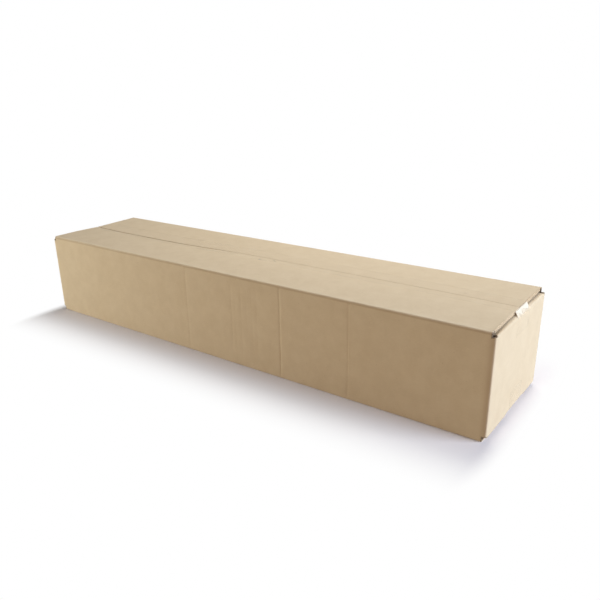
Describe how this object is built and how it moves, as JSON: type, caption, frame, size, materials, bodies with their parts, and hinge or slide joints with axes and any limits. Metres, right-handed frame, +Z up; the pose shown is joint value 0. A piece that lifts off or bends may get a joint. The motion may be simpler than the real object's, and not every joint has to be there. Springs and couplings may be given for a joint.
{
  "type": "double-wall carton",
  "caption": "Long closed shipping carton folded from double-wall corrugated board, its flaps sealed with clear film along the top and base seams.",
  "frame": {"origin": "centre of the base, on the floor under the carton", "axes": "+X along the carton towards its right end as the picture shows it, +Y from the front panel to the back panel, +Z up"},
  "size_m": [0.911, 0.204, 0.1586],
  "materials": {
    "kraft_board": "matt kraft liner",
    "clear_tape": "clear glossy film"
  },
  "bodies": {
    "root": {"carton_blank": "kraft_board", "top_seal_tape": "clear_tape", "bottom_seal_tape": "clear_tape"}
  },
  "joints": []
}
